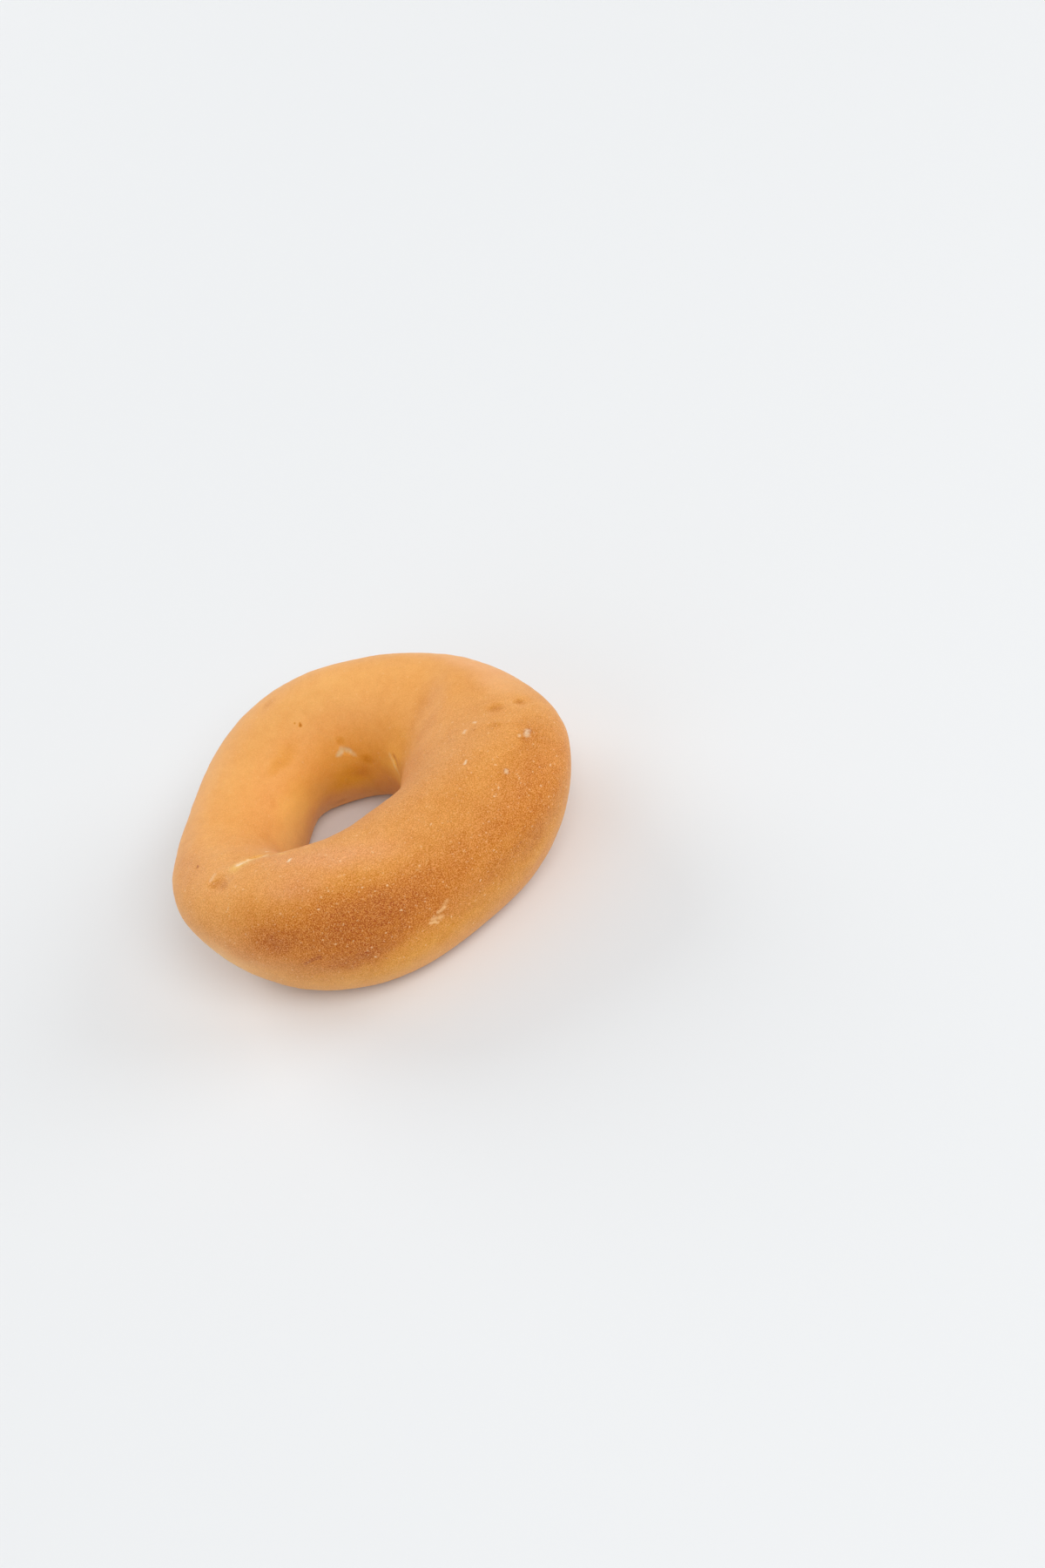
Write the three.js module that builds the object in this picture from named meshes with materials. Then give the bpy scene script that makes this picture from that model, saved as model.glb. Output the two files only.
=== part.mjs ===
// A plain bagel: one roll of dough joined into an uneven ring, baked until its
// crust is firm, with a flat underside where it lay on the tray.
//
// Millimetres, +Z up. The origin is the middle of the bounding box at the
// bottom, so the bagel stands on z = 0. Directions round the ring are degrees
// from +X, anticlockwise seen from above; -Y is the bagel's front.
import * as THREE from 'three';
import { mergeVertices } from 'three/addons/utils/BufferGeometryUtils.js';

// ---- Driving dimensions -------------------------------------------------

const RIM_RADIUS = 50;          // the ring's outer edge, on average
const HOLE_RADIUS = 15.6;       // the hole at its narrowest, on average
const CREST_HEIGHT = 35.9;      // the top of the roll, on average
const WAIST_SHARE = 0.575;      // height of the widest place, as a share of the crest
const LEAN = 2.2;               // how far the roll's top leans out past its foot

const TOP_FULLNESS = 1.97;      // exponent of the section above the waist: 2 is an ellipse
const FOOT_FULLNESS = 2.16;     // the same below the waist, a little squarer
const SAG = 2.5;                // how far the dough has settled into its flat underside
const FOOT_BLEND = 1.5;         // how softly the side turns into the flat underside

const RING_STEPS = 120;         // facets round the ring
const SECTION_STEPS = 44;       // facets round the roll

const CRUST_COLOUR = 0xe0a05a;
const CRUST_ROUGHNESS = 0.6;

// ---- Small tools --------------------------------------------------------

const FULL_TURN = 360;
const radians = THREE.MathUtils.degToRad;
const { clamp, smoothstep, euclideanModulo } = THREE.MathUtils;

// Hand-rolled dough is never even. A wave swings a size by `swing` each way,
// `count` times round the ring, with its first high place at `high` degrees.
const wave = (count, swing, high) => (turn) => swing * Math.cos(count * radians(turn - high));

// A size that changes round the ring: its average and the waves on it.
const uneven = (average, ...waves) => (turn) =>
  waves.reduce((size, swell) => size + swell(turn), average);

// The signed angle from one direction to another, between -180 and 180.
const between = (from, to) => euclideanModulo(to - from + FULL_TURN / 2, FULL_TURN) - FULL_TURN / 2;

// A power that keeps its base's sign, for the rounded section.
const signedPower = (base, exponent) => Math.sign(base) * Math.abs(base) ** exponent;

// ---- How the sizes change round the ring --------------------------------

const rimRadius = uneven(RIM_RADIUS,
  wave(2, 0.8, 86), wave(3, 2.3, -20), wave(4, 0.5, 37), wave(5, 0.9, -29));
const holeRadius = uneven(HOLE_RADIUS,
  wave(1, 7.4, 143), wave(2, 1.4, -81), wave(3, 1.6, -44), wave(4, 0.4, 34));
const crestHeight = uneven(CREST_HEIGHT,
  wave(1, 2.6, -56), wave(2, 1.7, 76), wave(3, 2.1, -32));
const waistShare = uneven(WAIST_SHARE, wave(1, 0.017, -106), wave(2, 0.073, -11));
const lean = uneven(LEAN, wave(1, 0.2, 6), wave(2, 2.4, 4));

// ---- Relief: where the roll was pinched, folded and pressed --------------

// Relief is measured along the section, outwards. It is given a place on the
// crust: `turn` round the ring, `round` the section (0 is the outer edge, 90
// the crest and 180 the hole's wall) and `arc`, the millimetres of crust for
// each degree of turn there.

// A pleat is a step in the crust, a swelling beside a dip, where dough lies
// over dough. It crosses the crest at `at` degrees, drifts by `drift` degrees
// for each degree round the section, and fades out at `start` and `end`.
const pleat = ({ at, drift, width, height, start, end, fade }) => (turn, round, arc) => {
  const line = at + drift * (round - 90);
  const across = between(turn, line) * arc / width;
  const along = smoothstep(round, start, start + fade) * (1 - smoothstep(round, end - fade, end));
  return height * across * Math.exp((1 - across ** 2) / 2) * along;
};

// A dent is a shallow hollow, `width` millimetres and `span` degrees from its
// middle to where it has nearly gone.
const dent = ({ at, round: middle, width, span, depth }) => (turn, round, arc) => {
  const across = between(turn, at) * arc / width;
  const along = between(round, middle) / span;
  return -depth * Math.exp(-2 * (across ** 2 + along ** 2));
};

const marks = [
  // The soft shoulder that climbs from the hole's right corner over the crest.
  pleat({ at: 29, drift: -0.3, width: 4, height: 0.65, start: 45, end: 200, fade: 45 }),
  // The short crease that runs out of the hole's left corner.
  pleat({ at: -163, drift: 0.45, width: 2.6, height: -0.45, start: 90, end: 165, fade: 20 }),
  // A finger's mark under the back of the hole.
  dent({ at: 113, round: 228, width: 9, span: 45, depth: 1.9 }),
];
const reliefAt = (turn, round, arc) =>
  marks.reduce((height, mark) => height + mark(turn, round, arc), 0);

// ---- The bagel ----------------------------------------------------------

// The underside is pressed flat at z = 0 and blends softly into the side.
function pressFlat(z) {
  if (z <= -FOOT_BLEND) return 0;
  if (z >= FOOT_BLEND) return z;
  return (z + FOOT_BLEND) ** 2 / (4 * FOOT_BLEND);
}

// One point of the crust: `turn` degrees round the ring, `round` degrees round
// the roll's section, from the outer edge over the crest to the hole.
function crustPoint(turn, round) {
  const crest = crestHeight(turn);
  const waist = waistShare(turn) * crest;
  const halfWidth = (rimRadius(turn) - holeRadius(turn)) / 2;
  const middle = (rimRadius(turn) + holeRadius(turn)) / 2;

  const outward = Math.cos(radians(round));
  const upward = Math.sin(radians(round));
  const exponent = 2 / (upward > 0 ? TOP_FULLNESS : FOOT_FULLNESS);
  const reach = upward > 0 ? crest - waist : waist + SAG;
  const plainRadius = middle + halfWidth * signedPower(outward, exponent);
  const relief = reliefAt(turn, round, radians(1) * plainRadius);

  const z = pressFlat(waist + reach * signedPower(upward, exponent) + relief * upward);
  const slant = lean(turn) * 2 * clamp(z / crest, 0, 1) - LEAN;
  const radius = plainRadius + slant + relief * outward;
  return [radius * Math.cos(radians(turn)), radius * Math.sin(radians(turn)), z];
}

// A torus gives the faces; each of its points is then moved onto the crust.
// Its uv holds how far round the ring and round the section a point is.
function bagelGeometry() {
  const torus = new THREE.TorusGeometry(1, 0.5, SECTION_STEPS, RING_STEPS);
  const { position, uv } = torus.attributes;
  for (let i = 0; i < position.count; i++) {
    const turn = (uv.getX(i) % 1) * FULL_TURN;
    const round = (uv.getY(i) % 1) * FULL_TURN;
    position.setXYZ(i, ...crustPoint(turn, round));
  }
  torus.deleteAttribute('uv');
  torus.deleteAttribute('normal');

  const closed = mergeVertices(torus);
  closed.computeBoundingBox();
  const centre = closed.boundingBox.getCenter(new THREE.Vector3());
  closed.translate(-centre.x, -centre.y, 0);
  closed.computeVertexNormals();
  return closed;
}

const crust = new THREE.MeshStandardMaterial({
  color: CRUST_COLOUR,
  roughness: CRUST_ROUGHNESS,
  metalness: 0,
});

const bagel = new THREE.Mesh(bagelGeometry(), crust);
bagel.name = 'bagel';

const group = new THREE.Group();
group.add(bagel);

export default group;
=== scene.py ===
# %% [markdown]
# # A plain bagel
#
# A bagel is a roll of firm dough, joined into a ring by hand, boiled for a
# moment and baked. So its ring is uneven, its skin is smooth and a little
# leathery, it browns in soft patches, and tiny pale blisters sit all over it.
#
# The solid comes from the frame, at its real size. This lesson dresses it: a
# finer skin over the solid, the marks that hands and oven left on it, a crust
# material, and then a camera, a floor and soft light.

# %% The frame
import math

import bpy
from mathutils import Euler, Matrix, Quaternion, Vector, kdtree


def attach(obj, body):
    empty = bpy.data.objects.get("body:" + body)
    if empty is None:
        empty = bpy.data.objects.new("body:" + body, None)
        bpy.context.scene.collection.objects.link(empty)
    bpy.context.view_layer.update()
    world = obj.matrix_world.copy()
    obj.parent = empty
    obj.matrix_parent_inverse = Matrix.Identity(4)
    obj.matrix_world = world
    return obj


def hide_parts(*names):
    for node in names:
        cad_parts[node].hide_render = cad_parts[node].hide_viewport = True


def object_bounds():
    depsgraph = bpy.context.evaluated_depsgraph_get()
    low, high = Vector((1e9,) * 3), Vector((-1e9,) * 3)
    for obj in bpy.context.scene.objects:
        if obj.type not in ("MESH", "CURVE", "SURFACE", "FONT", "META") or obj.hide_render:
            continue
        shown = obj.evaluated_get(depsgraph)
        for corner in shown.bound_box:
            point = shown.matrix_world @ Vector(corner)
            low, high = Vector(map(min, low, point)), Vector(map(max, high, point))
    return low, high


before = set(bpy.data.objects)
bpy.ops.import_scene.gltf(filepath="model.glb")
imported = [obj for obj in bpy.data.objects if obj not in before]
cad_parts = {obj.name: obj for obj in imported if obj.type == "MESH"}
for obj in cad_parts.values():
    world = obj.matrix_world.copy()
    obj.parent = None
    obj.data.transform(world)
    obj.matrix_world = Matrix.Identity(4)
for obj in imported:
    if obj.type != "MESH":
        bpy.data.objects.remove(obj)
solid_low, solid_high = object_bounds()
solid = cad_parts["bagel"]
MM = 0.001
size_mm = (solid_high - solid_low) / MM
print("the solid measures", [round(side, 1) for side in size_mm], "mm")

# %% [markdown]
# ## The skin
#
# The solid is made of flat triangles, which would show as facets on a crust.
# A new torus could be wrapped onto it, but that loses the ring's own unevenness
# wherever the torus has too few points. A copy of the solid keeps every place
# exactly. Its loose triangles are merged and paired into four-sided faces,
# because Subdivision Surface rounds those most evenly.

# %% A smooth copy of the solid
MERGE_DISTANCE = 0.005 * MM
# Two triangles are paired where they are bent and skewed by less than this.
QUAD_ANGLE = math.radians(60)
SKIN_LEVELS = 2


def apply_modifiers(piece):
    """Applies all of a piece's modifiers in their order."""
    bpy.context.view_layer.objects.active = piece
    for modifier in list(piece.modifiers):
        bpy.ops.object.modifier_apply(modifier=modifier.name)


bpy.ops.object.select_all(action="DESELECT")
crust = bpy.data.objects.new("crust", solid.data.copy())
bpy.context.collection.objects.link(crust)
crust.data.materials.clear()
crust.select_set(True)
bpy.context.view_layer.objects.active = crust

bpy.ops.object.mode_set(mode="EDIT")
bpy.ops.mesh.select_all(action="SELECT")
bpy.ops.mesh.remove_doubles(threshold=MERGE_DISTANCE)
bpy.ops.mesh.tris_convert_to_quads(face_threshold=QUAD_ANGLE, shape_threshold=QUAD_ANGLE)
bpy.ops.object.mode_set(mode="OBJECT")
print("merged:", len(crust.data.vertices), "points,", len(crust.data.polygons), "faces")

finer = crust.modifiers.new("finer", "SUBSURF")
finer.levels = finer.render_levels = SKIN_LEVELS
apply_modifiers(crust)
bpy.ops.object.shade_smooth()
print("subdivided:", len(crust.data.polygons), "faces")

# %% [markdown]
# ## Hand-made unevenness
#
# Dough is never as even as a computer's curves. Two Displace modifiers push the
# skin in and out by a cloud pattern: broad soft lumps first, then the faint
# dimpling of a baked skin. The underside lay on a tray, so a vertex group
# fades the effect out towards it.

# %% Lumps and dimples
FOOT_HEIGHT = 5 * MM

above_tray = crust.vertex_groups.new(name="above_tray")
for point in crust.data.vertices:
    above_tray.add([point.index], min(1.0, point.co.z / FOOT_HEIGHT), "REPLACE")


def roughen(piece, name, grain, height):
    """Pushes the skin in and out by clouds, by up to half the height each way."""
    clouds = bpy.data.textures.new(name, "CLOUDS")
    clouds.noise_scale = grain
    push = piece.modifiers.new(name, "DISPLACE")
    push.texture = clouds
    push.texture_coords = "LOCAL"
    push.strength = height
    push.vertex_group = "above_tray"


roughen(crust, "lumps", grain=16 * MM, height=0.7 * MM)
roughen(crust, "dimples", grain=2.2 * MM, height=0.16 * MM)
apply_modifiers(crust)
print("roughened box:", [round(side / MM, 1) for side in crust.dimensions], "mm")

# %% [markdown]
# ## Blisters, creases and dents
#
# In the oven, steam lifts pale blisters. Where the roll was pinched shut there
# are short creases. Each is shaped as if by hand: pick the nearest point and
# move it along the skin's normal with proportional editing, so that its
# neighbours follow. Colour comes later, in the material, at the same places.

# %% A helper that presses and lifts the skin
skin_points = kdtree.KDTree(len(crust.data.vertices))
for point in crust.data.vertices:
    skin_points.insert(point.co, point.index)
skin_points.balance()
skin_normals = [point.normal.copy() for point in crust.data.vertices]


def shape_skin(place, reach, height):
    """Moves the skin at a place in mm by a height in mm, fading out over the reach."""
    _, index, _ = skin_points.find(Vector(place) * MM)
    bpy.ops.mesh.select_all(action="DESELECT")
    bpy.ops.object.mode_set(mode="OBJECT")
    crust.data.vertices[index].select = True
    bpy.ops.object.mode_set(mode="EDIT")
    bpy.ops.transform.translate(
        value=skin_normals[index] * height * MM,
        use_proportional_edit=True,
        proportional_edit_falloff="SMOOTH",
        proportional_size=reach * MM,
    )


# %% Blisters
# Each blister's place and its radius, in mm.
BLISTERS = {
    "right_large": ((43.2, -18.7, 36.0), 1.0),
    "right_small": ((34.3, -29.1, 37.0), 0.7),
    "right_speck": ((32.1, -11.2, 37.6), 0.45),
}
# How far out the skin rises, and how high, for each mm of that radius.
BLISTER_REACH, BLISTER_RISE = 2.0, 0.3

bpy.ops.object.mode_set(mode="EDIT")
for place, radius in BLISTERS.values():
    shape_skin(place, BLISTER_REACH * radius, BLISTER_RISE * radius)
print("blisters:", ", ".join(BLISTERS))

# %% Creases
# A crease runs from one place to another, in mm, and has a depth.
CREASES = {
    "left_corner": ((-27.6, -14.7, 33.6), (-35.2, -16.5, 36.8), 0.5),
    "left_corner_tip": ((-24.5, -16.5, 34.6), (-28.6, -14.7, 34.0), 0.25),
    "right_corner": ((11.6, 10.6, 23.8), (11.4, 7.2, 20.6), 0.25),
    "hole_wall": ((0.0, 18.8, 24.6), (3.4, 17.8, 22.6), 0.25),
}
CREASE_REACH = 1.4
CREASE_STEP = 0.8

for start, end, depth in CREASES.values():
    start, end = Vector(start), Vector(end)
    steps = max(2, round((end - start).length / CREASE_STEP))
    for step in range(steps + 1):
        along = step / steps
        shape_skin(start.lerp(end, along), CREASE_REACH, -depth * math.sin(math.pi * along))
print("creases:", ", ".join(CREASES))

# %% Dents
# A dent's middle, how far it reaches and its depth, in mm.
DENTS = {
    "left_dimple": ((-40.6, -19.0, 36.8), 4.5, 0.5),
    "right_dimple": ((45.7, -5.1, 34.2), 4.0, 0.35),
    "right_hollow": ((39.6, -5.4, 35.9), 3.5, 0.2),
}
for place, reach, depth in DENTS.values():
    shape_skin(place, reach, -depth)
bpy.ops.object.mode_set(mode="OBJECT")
print("dents:", ", ".join(DENTS))

# %% [markdown]
# ## Tools for the crust's material
#
# A shader is a web of small nodes. These helpers add one and wire its inputs in
# a line, so that the cells below read like a recipe. What is used more than
# once becomes a node group, with named inputs and outputs.

# %% Node helpers


def socket(sockets, name):
    """A socket by number, or by name among those that the node now shows."""
    if isinstance(name, int):
        return sockets[name]
    return next(each for each in sockets if each.name == name and each.enabled)


def add_node(tree, kind, inputs, **settings):
    """Adds a node. inputs gives each socket, by name or number, a value or a link."""
    made = tree.nodes.new(kind)
    for name, value in settings.items():
        setattr(made, name, value)
    for name, value in inputs.items():
        if isinstance(value, bpy.types.NodeSocket):
            tree.links.new(value, socket(made.inputs, name))
        else:
            socket(made.inputs, name).default_value = value
    return made


def sums(tree, operation, first, second=0.0, clamp=False):
    """The answer of one Math node."""
    return add_node(
        tree, "ShaderNodeMath", {0: first, 1: second}, operation=operation, use_clamp=clamp
    ).outputs[0]


def vectors(tree, operation, first, second):
    """The vector answer of one Vector Math node."""
    return add_node(
        tree, "ShaderNodeVectorMath", {0: first, 1: second}, operation=operation
    ).outputs["Vector"]


def length(tree, vector):
    """The length of a vector."""
    return add_node(tree, "ShaderNodeVectorMath", {0: vector}, operation="LENGTH").outputs["Value"]


def axes(tree, vector):
    """The X, Y and Z of a vector, by name."""
    return add_node(tree, "ShaderNodeSeparateXYZ", {"Vector": vector}).outputs


def map_range(tree, value, before, after=(0.0, 1.0), curve="LINEAR"):
    """Carries a number from one range to another and holds it at the ends."""
    ends = {
        "Value": value,
        "From Min": before[0],
        "From Max": before[1],
        "To Min": after[0],
        "To Max": after[1],
    }
    return add_node(tree, "ShaderNodeMapRange", ends, interpolation_type=curve).outputs["Result"]


def add_share(tree, number, mask, amount):
    """Adds an amount where a mask is 1, and less of it where the mask is weaker."""
    return sums(tree, "ADD", number, sums(tree, "MULTIPLY", mask, amount))


def new_group(name, inputs, outputs):
    """A node group with named sockets. Returns it with its input and output nodes."""
    group = bpy.data.node_groups.new(name, "ShaderNodeTree")
    for title, kind in inputs.items():
        group.interface.new_socket(title, in_out="INPUT", socket_type="NodeSocket" + kind)
    for title, kind in outputs.items():
        group.interface.new_socket(title, in_out="OUTPUT", socket_type="NodeSocket" + kind)
    given = group.nodes.new("NodeGroupInput").outputs
    answers = group.nodes.new("NodeGroupOutput")
    return group, given, answers


def use_group(tree, group, **inputs):
    """Places a node group in a material and returns its outputs."""
    return add_node(tree, "ShaderNodeGroup", inputs, node_tree=group).outputs


# %% [markdown]
# A soft spot is a mark of any kind round a place on the bagel. It is 1 in the
# middle and fades to 0 at its edge. Specks, pits and the brown rings round
# blisters are soft spots.

# %% Node group: soft spot
soft_spot, given, answers = new_group(
    "soft_spot",
    {"Place": "Vector", "Middle": "Vector", "Reach": "Vector", "Edge": "Float"},
    {"Mask": "Float"},
)


def fade_out(tree, distance, edge):
    """1 up to a distance of 1 less the edge, and 0 from a distance of 1."""
    fade_start = sums(tree, "SUBTRACT", 1.0, edge)
    return map_range(tree, distance, (fade_start, 1.0), (1.0, 0.0), curve="SMOOTHSTEP")


offset = vectors(soft_spot, "SUBTRACT", given["Place"], given["Middle"])
scaled = vectors(soft_spot, "DIVIDE", offset, given["Reach"])
spot_mask = fade_out(soft_spot, length(soft_spot, scaled), given["Edge"])
soft_spot.links.new(spot_mask, answers.inputs["Mask"])
print("group:", soft_spot.name)

# %% [markdown]
# A stroke is a mark along a straight line, such as a crease or a scuff. The
# point of the line that is nearest to the shaded place is found first, held
# between the line's two ends, and the distance to it decides the mask.

# %% Node group: stroke
stroke, given, answers = new_group(
    "stroke",
    {"Place": "Vector", "Start": "Vector", "End": "Vector", "Width": "Float"},
    {"Mask": "Float"},
)


def dot_product(tree, first, second):
    """The dot product of two vectors."""
    return add_node(
        tree, "ShaderNodeVectorMath", {0: first, 1: second}, operation="DOT_PRODUCT"
    ).outputs["Value"]


line = vectors(stroke, "SUBTRACT", given["End"], given["Start"])
offset = vectors(stroke, "SUBTRACT", given["Place"], given["Start"])
along = sums(
    stroke, "DIVIDE", dot_product(stroke, offset, line), dot_product(stroke, line, line), clamp=True
)
along_line = add_node(
    stroke, "ShaderNodeVectorMath", {0: line, "Scale": along}, operation="SCALE"
).outputs["Vector"]
away = length(stroke, vectors(stroke, "SUBTRACT", offset, along_line))
stroke_mask = fade_out(stroke, sums(stroke, "DIVIDE", away, given["Width"]), 1.0)
stroke.links.new(stroke_mask, answers.inputs["Mask"])
print("group:", stroke.name)

# %% [markdown]
# Browning follows the roll. So a place is also told as two angles: the turn
# round the ring, from +X, and the angle round the roll's section, which is 0 at
# the outer edge, 90 on the crest and 180 at the hole's wall.

# %% Node group: roll angles
RING_RADIUS = 33.0
ROLL_MIDDLE = size_mm[2] / 2

roll_angles, given, answers = new_group(
    "roll_angles", {"Place": "Vector"}, {"Angles": "Vector"}
)


def from_axis(tree, place):
    """How far a place is from the upright line through the ring's middle."""
    return length(tree, vectors(tree, "MULTIPLY", place, (1, 1, 0)))


parts = axes(roll_angles, given["Place"])
turn = sums(roll_angles, "ARCTAN2", parts["Y"], parts["X"])
outward = sums(roll_angles, "SUBTRACT", from_axis(roll_angles, given["Place"]), RING_RADIUS)
upward = sums(roll_angles, "SUBTRACT", parts["Z"], ROLL_MIDDLE)
section = sums(roll_angles, "ARCTAN2", upward, outward)
angles = add_node(
    roll_angles,
    "ShaderNodeCombineXYZ",
    {"X": sums(roll_angles, "DEGREES", turn), "Y": sums(roll_angles, "DEGREES", section)},
)
roll_angles.links.new(angles.outputs[0], answers.inputs["Angles"])
print("group:", roll_angles.name)

# %% [markdown]
# A baked patch is a soft spot told in these angles. The difference of two
# angles is wrapped, so that a patch may lie across the place where they jump.

# %% Node group: baked patch
baked_patch, given, answers = new_group(
    "baked_patch",
    {"Angles": "Vector", "Middle": "Vector", "Reach": "Vector"},
    {"Mask": "Float"},
)
HALF_TURN = (180, 180, 180)
MINUS_HALF_TURN = (-180, -180, -180)
apart = vectors(baked_patch, "SUBTRACT", given["Angles"], given["Middle"])
wrapped = add_node(
    baked_patch,
    "ShaderNodeVectorMath",
    {0: apart, 1: HALF_TURN, 2: MINUS_HALF_TURN},
    operation="WRAP",
).outputs["Vector"]
scaled = vectors(baked_patch, "DIVIDE", wrapped, given["Reach"])
patch_mask = fade_out(baked_patch, length(baked_patch, scaled), 1.0)
baked_patch.links.new(patch_mask, answers.inputs["Mask"])
print("group:", baked_patch.name)

# %% [markdown]
# Dough browns in faint streaks along the roll, where it was stretched. Noise is
# stretched the same way here: it changes quickly with the distance from the
# middle and the height, and slowly round the ring. Four numbers go into the
# noise, so that it meets itself where the ring closes.

# %% Node group: roll streaks
roll_streaks, given, answers = new_group(
    "roll_streaks",
    {"Place": "Vector", "Width": "Float", "Turns": "Float"},
    {"Value": "Float"},
)
parts = axes(roll_streaks, given["Place"])
turn = sums(roll_streaks, "ARCTAN2", parts["Y"], parts["X"])
radius = from_axis(roll_streaks, given["Place"])
across = sums(roll_streaks, "DIVIDE", radius, given["Width"])
upward = sums(roll_streaks, "DIVIDE", parts["Z"], given["Width"])
round_x = sums(roll_streaks, "MULTIPLY", sums(roll_streaks, "COSINE", turn), given["Turns"])
round_y = sums(roll_streaks, "MULTIPLY", sums(roll_streaks, "SINE", turn), given["Turns"])
streak_place = add_node(
    roll_streaks, "ShaderNodeCombineXYZ", {"X": across, "Y": upward, "Z": round_x}
)
streaks = add_node(
    roll_streaks,
    "ShaderNodeTexNoise",
    {"Vector": streak_place.outputs[0], "W": round_y, "Scale": 1.0, "Detail": 2.0},
    noise_dimensions="4D",
)
roll_streaks.links.new(streaks.outputs["Fac"], answers.inputs["Value"])
print("group:", roll_streaks.name)

# %% [markdown]
# Boiled dough gets countless tiny blisters as it bakes. A Voronoi pattern gives
# one dot for each small cell, and the cell's own random colour decides which
# cells keep theirs and how strong it is.

# %% Node group: micro blisters
micro_blisters, given, answers = new_group(
    "micro_blisters",
    {"Place": "Vector", "Spacing": "Float", "Size": "Float", "Kept": "Float"},
    {"Mask": "Float"},
)
cells = add_node(
    micro_blisters,
    "ShaderNodeTexVoronoi",
    {"Vector": given["Place"], "Scale": sums(micro_blisters, "DIVIDE", 1.0, given["Spacing"])},
)
luck = add_node(
    micro_blisters, "ShaderNodeSeparateColor", {"Color": cells.outputs["Color"]}
).outputs
distance = sums(micro_blisters, "DIVIDE", cells.outputs["Distance"], given["Size"])
dot = fade_out(micro_blisters, distance, 1.0)
kept = sums(micro_blisters, "LESS_THAN", luck["Red"], given["Kept"])
strength = sums(micro_blisters, "MULTIPLY", kept, luck["Green"])
blister_mask = sums(micro_blisters, "MULTIPLY", dot, strength)
micro_blisters.links.new(blister_mask, answers.inputs["Mask"])
print("group:", micro_blisters.name)

# %% [markdown]
# ## The crust
#
# One number says how far each place is baked: 0 is pale dough and 1 is dark
# brown. It starts from a bake that is a little stronger on one side, and the
# baked patches and some noise are added to it. Some patches paint light and
# shade into it: painted light makes the hole's walls, the left and front feet,
# the top edge and the near crest paler, the front foot and the crest partly
# being paler crust too, and painted shade partly darkens the fold's valley.
# A colour ramp then turns the number into colour.

# %% The material and its places
crust_material = bpy.data.materials.new("baked_crust")
crust_material.use_nodes = True
tree = crust_material.node_tree
tree.nodes.clear()

# Places are in millimetres from here on.
coordinates = add_node(tree, "ShaderNodeTexCoord", {}).outputs["Object"]
place = vectors(tree, "MULTIPLY", coordinates, (1 / MM, 1 / MM, 1 / MM))


def noise(vector, grain, output="Fac"):
    """Noise whose spots are about `grain` millimetres across."""
    return add_node(
        tree, "ShaderNodeTexNoise", {"Vector": vector, "Scale": 1.0 / grain, "Detail": 2.0}
    ).outputs[output]


def wander(vector, grain, reach):
    """Moves places about by up to half the reach, so that edges of marks aren't smooth."""
    aside = vectors(tree, "SUBTRACT", noise(vector, grain, output="Color"), (0.5, 0.5, 0.5))
    return vectors(tree, "ADD", vector, vectors(tree, "MULTIPLY", aside, (reach, reach, reach)))


wandering_place = wander(place, grain=12, reach=8)
jittered_place = wander(place, grain=1.5, reach=1.2)
ragged_place = wander(place, grain=0.9, reach=1.0)
angles = use_group(tree, roll_angles, Place=wandering_place)["Angles"]

# %% How far each place is baked, with some painted light and shade
EVEN_BAKE = 0.37
# The bake swings by this much, strongest at this turn.
BAKE_SWING = 0.12
BAKE_SWING_TURN = math.radians(-70)
# Patches: turn and section angle of the middle, their reach, and how much more
# (or less) baked the middle is. Those marked below paint light and shade
# instead of browning, in part or in whole.
BAKED_PATCHES = {
    "front_band": ((-114, 26), (46, 52), 0.44),
    "front_band_upper": ((-88, 42), (44, 40), 0.24),
    "front_band_right": ((-91, 14), (22, 24), 0.14),
    "front_band_left": ((-132, 25), (13, 16), 0.22),
    "front_band_low": ((-109, 1), (18, 16), 0.22),
    # Partly paler crust, partly painted highlight along the near crest.
    "near_crest_pale_and_highlight": ((-105, 92), (54, 28), -0.07),
    "right_side": ((-42, 30), (38, 46), 0.28),
    "right_foot": ((-64, 4), (28, 26), 0.20),
    "right_blister": ((-22, 49), (10, 14), 0.14),
    "left_side": ((-178, 44), (28, 24), 0.15),
    # Partly paler dough, partly painted light: the lower front edge is paler for light the floor
    # throws up onto it.
    "front_foot_pale_and_painted_light": ((-110, -50), (80, 42), -0.26),
    # Painted light: the left foot's edge is paler, for a glow of light from below.
    "left_foot_painted_light": ((-154, -4), (28, 34), -0.38),
    "hole_front_edge": ((-22, 142), (36, 20), 0.12),
    # Partly browner crust, partly painted shade: the fold's valley is darker.
    "fold_valley_brown_and_painted_shade": ((27, 116), (9, 36), 0.13),
    "fold_right": ((8, 126), (10, 24), 0.10),
    # Painted light: the hole's back wall is paler, as if more light reached in.
    "hole_back_painted_light": ((150, 195), (50, 46), -0.34),
    "hole_left": ((149, 205), (9, 20), 0.08),
    # Painted light: the hole's far corner is paler, as if more light reached in.
    "hole_corner_painted_light": ((42, 182), (18, 30), -0.32),
    "hole_spot": ((80, 192), (14, 18), 0.26),
    "back_left": ((123, 130), (16, 15), 0.14),
    "back_crest": ((78, 110), (45, 50), -0.08),
    "back_side": ((95, 18), (58, 36), 0.10),
    # Painted sheen: the top edge is paler, as if it glowed.
    "back_edge_painted_sheen": ((18, 42), (44, 30), -0.16),
    "back_spot": ((107, 77), (6, 9), 0.16),
}

# How wide the streaks are in mm, how often they change round the ring, and how
# strongly they show in a patch.
STREAK_WIDTH, STREAK_TURNS, STREAK_STRENGTH = 3.0, 1.4, 0.5


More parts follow.
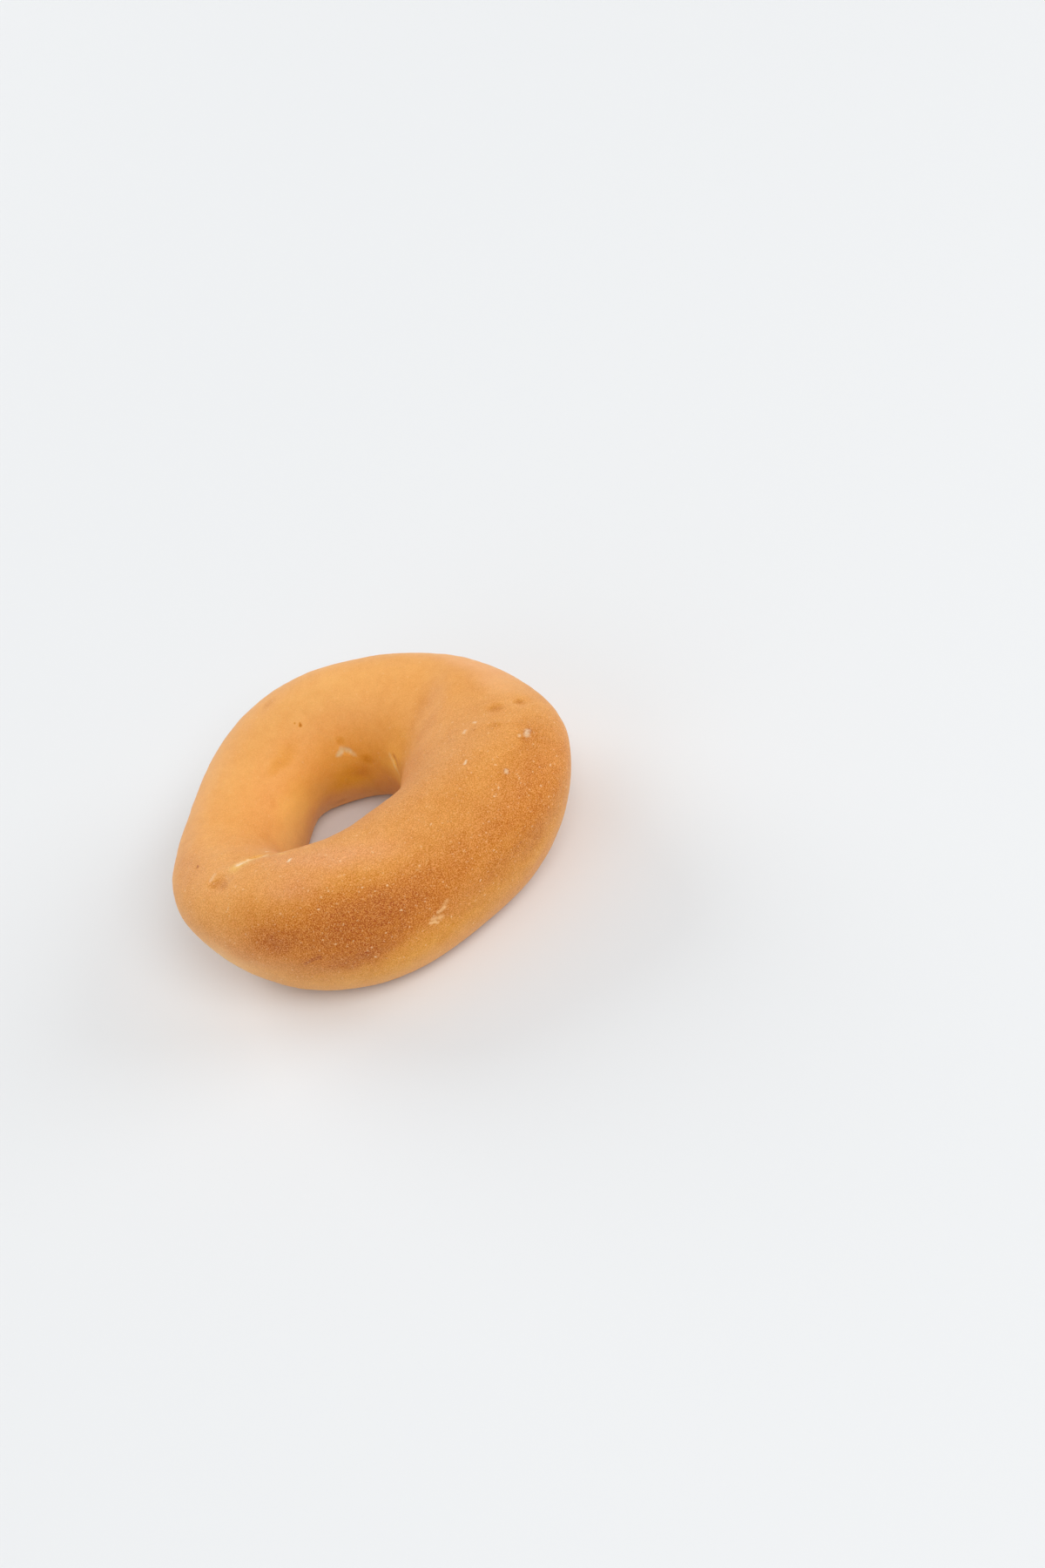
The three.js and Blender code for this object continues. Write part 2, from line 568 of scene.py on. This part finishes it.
def patch(middle, reach):
    """The mask of a patch, from its middle and reach in turn and section angle."""
    return use_group(
        tree, baked_patch, Angles=angles, Middle=(*middle, 0), Reach=(*reach, 1)
    )["Mask"]


turn = axes(tree, angles)["X"]
from_strongest = sums(tree, "SUBTRACT", sums(tree, "RADIANS", turn), BAKE_SWING_TURN)
bake = add_share(tree, EVEN_BAKE, sums(tree, "COSINE", from_strongest), BAKE_SWING)

streaks = use_group(
    tree, roll_streaks, Place=place, Width=STREAK_WIDTH, Turns=STREAK_TURNS
)["Value"]
streak_gain = add_share(tree, 1 - STREAK_STRENGTH / 2, streaks, STREAK_STRENGTH)
for middle, reach, amount in BAKED_PATCHES.values():
    gain = sums(tree, "MULTIPLY", patch(middle, reach), streak_gain)
    bake = add_share(tree, bake, gain, amount)
print("baked patches:", ", ".join(BAKED_PATCHES))

# %% Mottling
# How wide the spots of each noise are in mm, and how strongly they brown.
MOTTLING = {
    "clouds": (16, 0.16),
    "blotches": (5, 0.14),
    "spots": (2.0, 0.16),
    "grains": (0.4, 0.12),
}

for grain, amount in MOTTLING.values():
    mottle = sums(tree, "SUBTRACT", noise(place, grain), 0.5)
    bake = add_share(tree, bake, mottle, amount)
print("mottling:", ", ".join(MOTTLING))

# %% [markdown]
# The flat underside lay on the hot tray, which browned it evenly.

# %% The underside
# Between these heights in mm the tray's browning fades out.
TRAY_FADE = (0.1, 1.2)
TRAY_BAKE = 0.40

level = axes(tree, place)["Z"]
underside = map_range(tree, level, TRAY_FADE, (TRAY_BAKE, 0.0), curve="SMOOTHSTEP")
bake = sums(tree, "ADD", bake, underside)

# %% [markdown]
# Small marks change the bake too: darker specks and pits, and a thin browner
# ring round each large blister.

# %% Specks
# Place, reach in mm, and how much more baked they are.
SPECKS = {
    "back_speck": ((-6.1, 25.1, 32.9), 0.7, 0.7),
    "back_speck_upper": ((-7.2, 26.2, 33.2), 0.45, 0.45),
    "left_pit": ((-44.0, -8.6, 34.6), 0.75, 0.9),
    "left_dimple": ((-40.6, -19.2, 36.6), 3.0, 0.20),
    "left_dimple_side": ((-42.1, -18.5, 36.2), 2.0, 0.15),
    "left_dimple_tip": ((-39.6, -21.4, 36.6), 2.2, 0.18),
    "front_pit": ((-5.9, -48.2, 22.4), 0.6, 0.9),
    "right_pit": ((29.9, -40.4, 24.1), 0.6, 0.9),
    "right_brown": ((45.7, -5.1, 34.2), 2.2, 0.34),
    "right_brown_inner": ((39.6, -5.4, 35.9), 2.8, 0.24),
    "right_brown_low": ((37.1, -12.6, 37.5), 2.6, 0.16),
    "blister_brown": ((42.0, -20.8, 36.3), 2.0, 0.12),
    "blister_brown_small": ((33.2, -30.0, 36.9), 2.0, 0.12),
    "hole_brown": ((5.3, 16.2, 20.3), 2.6, 0.24),
    "hole_brown_upper": ((1.3, 19.6, 26.8), 1.8, 0.18),
    "hole_brown_low": ((-5.4, 22.6, 5.6), 2.4, 0.20),
}
SPECK_EDGE = 0.9
# The ring's reach for each mm of the blister's radius, its edge and its bake.
RING_REACH, RING_EDGE, RING_BAKE = 1.35, 0.4, 0.16


def spot(at, middle, reach, edge):
    """The mask of a round spot. `at` is each shaded place, jittered or not."""
    return use_group(
        tree, soft_spot, Place=at, Middle=middle, Reach=(reach, reach, reach), Edge=edge
    )["Mask"]


specked = 0.0
for middle, reach, amount in SPECKS.values():
    specked = add_share(tree, specked, spot(jittered_place, middle, reach, SPECK_EDGE), amount)
bake = sums(tree, "ADD", bake, specked)
for middle, radius in BLISTERS.values():
    bake = add_share(tree, bake, spot(place, middle, radius * RING_REACH, RING_EDGE), RING_BAKE)
print("specks:", ", ".join(SPECKS))

# %% Dark wrinkles
# Ends in mm, width in mm, and how much more baked they are.
WRINKLES = {
    "front": ((-30.1, -43.2, 22.0), (-28.2, -44.2, 23.0), 0.6, 0.45),
    "front_upper": ((-28.2, -44.2, 23.0), (-25.9, -44.9, 23.5), 0.7, 0.55),
    # Partly browner crust, partly painted shade: a dark line beside the right corner's crease.
    "right_corner": ((11.6, 9.6, 23.0), (11.7, 7.6, 21.2), 1.0, 0.28),
    "blister_edge": ((43.8, -17.3, 35.8), (44.4, -18.6, 35.5), 0.7, 0.18),
}


def ragged_stroke(start, end, width):
    """The mask of a stroke whose edges are ragged."""
    return use_group(
        tree, stroke, Place=ragged_place, Start=start, End=end, Width=width
    )["Mask"]


for start, end, width, amount in WRINKLES.values():
    bake = add_share(tree, bake, ragged_stroke(start, end, width), amount)
bake = sums(tree, "ADD", bake, 0.0, clamp=True)
print("dark wrinkles:", ", ".join(WRINKLES))

# %% [markdown]
# The ramp's colours run from dough through gold and tan to brown. Crusts easily
# come out too orange, so its stops are kept a little yellower than they look in
# the mind's eye.

# %% Colour
BAKE_COLOURS = {
    0.00: (0.88, 0.47, 0.145),
    0.25: (0.79, 0.37, 0.098),
    0.50: (0.68, 0.275, 0.052),
    0.75: (0.56, 0.187, 0.022),
    1.00: (0.46, 0.135, 0.014),
}
ramp = add_node(tree, "ShaderNodeValToRGB", {"Fac": bake})
stops = ramp.color_ramp.elements
while len(stops) < len(BAKE_COLOURS):
    stops.new(0.5)
for stop, (position, colour) in zip(stops, BAKE_COLOURS.items()):
    stop.position = position
    stop.color = (*colour, 1.0)


def blend(tree, amount, below, above):
    """Mixes two colours."""
    mixed = add_node(
        tree, "ShaderNodeMix", {"Factor": amount, "A": below, "B": above}, data_type="RGBA"
    )
    return socket(mixed.outputs, "Result")


colour = ramp.outputs["Color"]
print("bake colours:", len(BAKE_COLOURS))

# %% [markdown]
# Steam leaves a faint chalky bloom on some of the crust, and elsewhere the
# brown is a deeper gold. Other patches here are painted light: a whiter painted
# sheen on the top edge, painted light on the left foot, a partly painted
# highlight on the near crest, and less blue for the warm light that bounces
# round the hole and that a second bagel throws on the right, and partly on the
# front foot. A second ramp could hold the golden colours, but the two differ in
# their blue alone. So baked patches raise or lower the blue in the colour, and
# every speck takes a little of it away.

# %% Bloom, gold and painted light
# Turn and section angle of the middle, their reach, and how much blue is added.
BLOOM_PATCHES = {
    # Partly chalky bloom, partly painted highlight: the near crest is whiter.
    "near_crest_pale_and_highlight": ((-112, 88), (52, 24), 0.50),
    "near_crest_pale_and_highlight_left": ((-125, 64), (16, 16), 0.50),
    # Painted light: the left foot's edge is whiter too, for the same glow.
    "left_foot_painted_light": ((-142, 16), (26, 30), 0.25),
    # Painted sheen: the top edge is whiter as well.
    "top_edge_painted_sheen": ((22, 46), (36, 32), 0.35),
    # Painted reflected light: less blue in the hole, for the warm light bouncing between its walls.
    "hole_painted_bounce": ((60, 188), (150, 62), -0.50),
    "hole_painted_bounce_deep": ((88, 205), (30, 34), -0.45),
    "back_gold": ((123, 130), (18, 18), -0.30),
    # Painted reflected light: less blue on the right, for warm light thrown by a second bagel
    # beside it.
    "right_painted_warm_bounce": ((-46, 4), (32, 40), -0.45),
    "front_gold": ((-104, 30), (34, 46), -0.52),
    # Partly deeper gold, partly painted warm light thrown by a second bagel onto the front foot's
    # right part.
    "foot_gold_and_painted_warm_bounce": ((-90, -20), (60, 30), -0.40),
}
# How much blue a speck takes away, and how much is always left.
SPECK_GOLD = -1.1
LEAST_BLUE = 0.15

blue = add_share(tree, 1.0, specked, SPECK_GOLD)
for middle, reach, amount in BLOOM_PATCHES.values():
    blue = add_share(tree, blue, patch(middle, reach), amount)
blue = sums(tree, "MAXIMUM", blue, LEAST_BLUE)
bloom = add_node(tree, "ShaderNodeCombineColor", {"Red": 1.0, "Green": 1.0, "Blue": blue})
colour = vectors(tree, "MULTIPLY", colour, bloom.outputs["Color"])
print("bloom patches:", ", ".join(BLOOM_PATCHES))

# %% [markdown]
# The crust's finest grain is much smaller than a face of the skin, so noise
# stands for it, which lightens and darkens the colour: partly its own tone,
# partly painted glints and shade of its tiny relief. Over it come three sizes
# of micro blister. They are all of the same pale skin, so they show most where
# the crust is brown. Both are strong on the front and fainter at the back.

# %% Grain and micro blisters
BLISTER_SKIN = (0.92, 0.64, 0.36, 1.0)
# Spacing in mm, size as a share of the spacing, share kept, and strength.
DOT_SIZES = {
    "fine": (0.75, 0.38, 0.40, 0.36),
    "middling": (1.2, 0.29, 0.45, 0.52),
    "broad": (2.0, 0.22, 0.45, 0.80),
}
# The grain between them: how wide it is in mm, which part of the noise it uses,
# and what it adds to the colour above its middle and takes away below it. That
# is partly the crust's own tone, partly painted glints and shade of its relief.
GRAIN_WIDTH = 0.28
GRAIN_NOISE = (0.36, 0.72)
GRAIN_GLINT_AND_SHADE = (0.26, 0.17, 0.085)
GRAIN_MIDDLE = 0.4
# Both fade between these places, in mm towards the back, to this share.
BACK_FADE = (-15.0, 15.0)
BACK_SHARE = 0.35
# How strongly both show where the crust is baked this little and this much.
PALE_TO_BROWN = (0.1, 0.9)
SHOWN_BY_BAKE = (0.68, 1.4)

nearness = map_range(tree, axes(tree, place)["Y"], BACK_FADE, (1.0, BACK_SHARE))
baked_more = map_range(tree, bake, PALE_TO_BROWN, SHOWN_BY_BAKE)
shown = sums(tree, "MULTIPLY", nearness, baked_more)
grain = map_range(tree, noise(place, GRAIN_WIDTH), GRAIN_NOISE)
grain_shown = sums(tree, "MULTIPLY", sums(tree, "SUBTRACT", grain, GRAIN_MIDDLE), shown)
# Painted glints and shade of the grain's relief, partly its own tone.
lit = add_node(
    tree, "ShaderNodeVectorMath", {0: GRAIN_GLINT_AND_SHADE, "Scale": grain_shown}, operation="SCALE"
)
colour = vectors(tree, "ADD", colour, lit.outputs["Vector"])

dots = 0.0
for spacing, size, kept, strength in DOT_SIZES.values():
    mask = use_group(
        tree, micro_blisters, Place=ragged_place, Spacing=spacing, Size=size, Kept=kept
    )["Mask"]
    dots = sums(tree, "MAXIMUM", dots, sums(tree, "MULTIPLY", mask, strength))
dots_shown = sums(tree, "MULTIPLY", dots, shown, clamp=True)
colour = blend(tree, dots_shown, colour, BLISTER_SKIN)
print("dot sizes:", ", ".join(DOT_SIZES))

# %% [markdown]
# Unbrowned dough shows in the creases, on the large blisters and in a few small
# flecks, and one place at the front is rubbed. Image textures could hold such
# marks, but strokes keep them editable. Each has ragged edges, because its place
# wanders a little.

# %% Pale marks
PALE_DOUGH = (0.90, 0.74, 0.50, 1.0)
YOLK_DOUGH = (0.90, 0.56, 0.13, 1.0)
MOIST_DOUGH = (0.78, 0.72, 0.44, 1.0)
RUBBED_CRUST = (0.92, 0.58, 0.26, 1.0)
# Ends in mm, width in mm, colour, and how much of it shows.
PALE_STROKES = {
    "left_crease_halo": ((-29.0, -15.6, 34.6), (-35.4, -17.6, 37.2), 3.0, YOLK_DOUGH, 0.50),
    "left_crease": ((-31.8, -15.9, 35.2), (-34.2, -16.7, 36.5), 1.7, PALE_DOUGH, 1.0),
    "left_crease_middle": ((-29.8, -15.2, 34.3), (-31.8, -15.8, 35.2), 1.0, PALE_DOUGH, 0.7),
    "left_crease_tip": ((-27.2, -14.6, 33.3), (-29.8, -15.1, 34.2), 0.7, PALE_DOUGH, 0.35),
    "left_corner_line": ((-22.5, -20.6, 37.2), (-26.0, -17.2, 35.3), 0.7, YOLK_DOUGH, 0.6),
    "right_crease": ((11.0, 10.6, 23.0), (10.8, 8.7, 20.4), 0.9, MOIST_DOUGH, 0.22),
    "right_crease_low": ((10.8, 8.7, 20.4), (11.0, 7.0, 19.4), 1.0, MOIST_DOUGH, 0.22),
    "right_corner_line": ((11.1, 6.4, 19.4), (10.2, 8.0, 13.0), 0.7, YOLK_DOUGH, 0.3),
    "right_corner_mark": ((13.6, 2.0, 26.6), (13.9, 0.6, 25.8), 0.6, PALE_DOUGH, 0.35),
    "hole_wall_blob": ((-0.7, 19.2, 23.3), (0.1, 19.0, 23.8), 1.2, MOIST_DOUGH, 0.62),
    "hole_wall_arc": ((0.9, 19.1, 24.7), (2.0, 18.4, 23.7), 1.3, MOIST_DOUGH, 0.48),
    "hole_wall_arc_end": ((2.0, 18.4, 23.7), (3.0, 17.8, 22.2), 1.1, MOIST_DOUGH, 0.38),
    "scuff_top": ((7.4, -46.1, 23.1), (6.2, -46.4, 22.3), 1.0, RUBBED_CRUST, 0.35),
    "scuff_middle": ((6.1, -46.5, 21.8), (4.2, -46.9, 21.7), 0.8, RUBBED_CRUST, 0.60),
    "scuff_low": ((4.5, -47.0, 19.9), (2.4, -47.4, 20.9), 1.2, RUBBED_CRUST, 0.45),
    "scuff_edge": ((3.3, -47.2, 18.9), (1.5, -47.6, 20.3), 0.6, RUBBED_CRUST, 0.75),
    "dimple_edge": ((-42.2, -16.8, 36.1), (-40.8, -15.9, 36.4), 0.9, PALE_DOUGH, 0.26),
    "blister_large": ((43.5, -18.2, 35.9), (42.9, -19.7, 36.1), 1.15, PALE_DOUGH, 0.58),
    "blister_companion": ((41.2, -19.1, 36.7), (41.0, -19.6, 36.7), 0.6, PALE_DOUGH, 0.38),
    "blister_small": ((34.1, -29.0, 37.0), (34.0, -29.4, 37.0), 0.95, PALE_DOUGH, 0.50),
    "right_fleck": ((33.0, -7.6, 36.9), (33.2, -7.9, 36.9), 0.7, PALE_DOUGH, 0.70),
    "right_fleck_soft": ((29.5, -9.9, 37.2), (30.0, -9.2, 37.1), 0.8, PALE_DOUGH, 0.45),
    "right_fleck_long": ((25.9, -22.5, 39.2), (26.7, -21.8, 39.2), 0.5, PALE_DOUGH, 0.6),
    "crest_fleck": ((-22.8, -25.0, 38.0), (-22.1, -24.4, 38.0), 0.7, PALE_DOUGH, 0.75),
    "corner_fleck": ((-27.3, -11.6, 31.5), (-26.8, -10.6, 30.7), 0.6, PALE_DOUGH, 0.6),
}

for start, end, width, shade, amount in PALE_STROKES.values():
    shown_here = sums(tree, "MULTIPLY", ragged_stroke(start, end, width), amount)
    colour = blend(tree, shown_here, colour, shade)
print("pale strokes:", ", ".join(PALE_STROKES))

# %% [markdown]
# ## The finished crust
#
# The skin is matte with a soft gloss where it is browned. Two heights make the
# bump: the fine grain and the micro blisters. Bread lets a little light in
# under its skin, so the shader gets a small amount of subsurface scattering.
# Numbers that are the same all over are set straight on the shader.

# %% Shader
# The roughness where the crust is baked this little and this much.
GLOSS_BAKE = (0.2, 0.9)
ROUGHNESS_BY_BAKE = (0.62, 0.50)
# The grain's height beside that of the micro blisters, and how deep both are.
GRAIN_RELIEF = 0.45
RELIEF_DEPTH = 0.12 * MM
RELIEF_STRENGTH = 0.8

roughness = map_range(tree, bake, GLOSS_BAKE, ROUGHNESS_BY_BAKE)
relief = add_share(tree, dots_shown, grain_shown, GRAIN_RELIEF)
bump = add_node(
    tree,
    "ShaderNodeBump",
    {"Strength": RELIEF_STRENGTH, "Distance": RELIEF_DEPTH, "Height": relief},
).outputs["Normal"]

skin = add_node(
    tree,
    "ShaderNodeBsdfPrincipled",
    {
        "Base Color": colour,
        "Roughness": roughness,
        "Normal": bump,
        "Subsurface Weight": 0.10,
        "Subsurface Radius": (1.0, 0.45, 0.2),
        "Subsurface Scale": 1.2 * MM,
        "Specular IOR Level": 0.25,
        "Sheen Weight": 0.10,
        "Sheen Roughness": 0.5,
    },
)
add_node(tree, "ShaderNodeOutputMaterial", {"Surface": skin.outputs["BSDF"]})
crust.data.materials.append(crust_material)

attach(crust, "root")
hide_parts("bagel")
print("material nodes:", len(tree.nodes))

# %% [markdown]
# ## Floor, light and camera
#
# The bagel lies on a plain pale floor in soft studio light. One big softbox
# hangs above the front and shines into the hole. Three weaker ones stand low at
# the left, behind and at the right, so that the shadow stays pale all round and
# the crust's edges glow. An even surround fills in the rest.

# %% Floor
FLOOR_SIZE = 6.0
FLOOR_COLOUR = (0.75, 0.762, 0.771, 1.0)
FLOOR_GLOW = 0.04

bpy.ops.object.select_all(action="DESELECT")
bpy.ops.mesh.primitive_plane_add(size=FLOOR_SIZE)
floor = bpy.context.active_object
floor.name = "floor"
paper = bpy.data.materials.new("pale_paper")
paper.use_nodes = True
paper_skin = paper.node_tree.nodes["Principled BSDF"].inputs
paper_skin["Base Color"].default_value = FLOOR_COLOUR
paper_skin["Roughness"].default_value = 0.9
paper_skin["Specular IOR Level"].default_value = 0.1
paper_skin["Emission Color"].default_value = FLOOR_COLOUR
paper_skin["Emission Strength"].default_value = FLOOR_GLOW
floor.data.materials.append(paper)

# %% Softboxes
# A softbox is this wide for each metre that it stands away.
SOFTBOX_SPREAD = 0.68
# Degrees round from the right, degrees up, metres away and watts.
SOFTBOXES = {
    "front_above": (290, 52, 3.0, 42.0),
    "front_left": (215, 30, 1.9, 3.6),
    "low_behind": (117, 26, 1.9, 14.5),
    "low_right": (352, 25, 1.9, 12.0),
}
SURROUND = (0.98, 0.99, 1.0, 1.0)
SURROUND_STRENGTH = 0.46


def hang_softbox(name, turn, rise, distance, power):
    """Hangs a round softbox that faces the bagel."""
    turn, rise = math.radians(turn), math.radians(rise)
    outward = Vector(
        (math.cos(turn) * math.cos(rise), math.sin(turn) * math.cos(rise), math.sin(rise))
    )
    lamp = bpy.data.lights.new(name, "AREA")
    lamp.shape = "DISK"
    lamp.size = SOFTBOX_SPREAD * distance
    lamp.energy = power
    stand = bpy.data.objects.new(name, lamp)
    stand.location = outward * distance
    stand.rotation_mode = "QUATERNION"
    stand.rotation_quaternion = outward.to_track_quat("Z", "Y")
    stand.visible_camera = False
    bpy.context.collection.objects.link(stand)


for name, (turn, rise, distance, power) in SOFTBOXES.items():
    hang_softbox(name, turn, rise, distance, power)

world = bpy.data.worlds.new("studio")
world.use_nodes = True
world.node_tree.nodes["Background"].inputs["Color"].default_value = SURROUND
world.node_tree.nodes["Background"].inputs["Strength"].default_value = SURROUND_STRENGTH
bpy.context.scene.world = world
print("softboxes:", ", ".join(SOFTBOXES))

# %% [markdown]
# The camera looks down on the bagel's front, and it is rolled, because the real
# bagel leaned on its neighbour and this one lies flat. It is aimed a little to
# the right of the bagel, which so falls left of the picture's middle.

# %% Camera
FRAME_WIDTH, FRAME_HEIGHT = 1200, 1800
SENSOR = 36.0
LENS = 70.0
ELEVATION = math.radians(42.3)
ROLL = math.radians(26.0)
DISTANCE = 0.773
LOOKED_AT = Vector((0.0, 0.0, 18.0)) * MM
# Where that point falls in the frame, in pixels from the top left corner.
BAGEL_X, BAGEL_Y = 424.5, 932.6

lens = bpy.data.cameras.new("camera")
lens.lens = LENS
lens.sensor_width = SENSOR
camera = bpy.data.objects.new("camera", lens)
bpy.context.collection.objects.link(camera)
bpy.context.scene.camera = camera

focal_pixels = LENS / SENSOR * max(FRAME_WIDTH, FRAME_HEIGHT)
towards_bagel = Vector(
    ((BAGEL_X - FRAME_WIDTH / 2) / focal_pixels, (FRAME_HEIGHT / 2 - BAGEL_Y) / focal_pixels, -1.0)
)
tilted = Euler((math.pi / 2 - ELEVATION, 0.0, 0.0)).to_quaternion()
rolled = tilted @ Quaternion((0, 0, 1), -ROLL)
aimed_aside = Vector((0, 0, -1)).rotation_difference(towards_bagel.normalized())
back = Vector((0.0, -math.cos(ELEVATION), math.sin(ELEVATION)))
camera.rotation_mode = "QUATERNION"
camera.rotation_quaternion = rolled @ aimed_aside.inverted()
camera.location = LOOKED_AT + back * DISTANCE
print("camera at", [round(value, 3) for value in camera.location])

# %% [markdown]
# The plain Standard view keeps the colours as the materials give them.

# %% Finish
bpy.context.scene.view_settings.view_transform = "Standard"
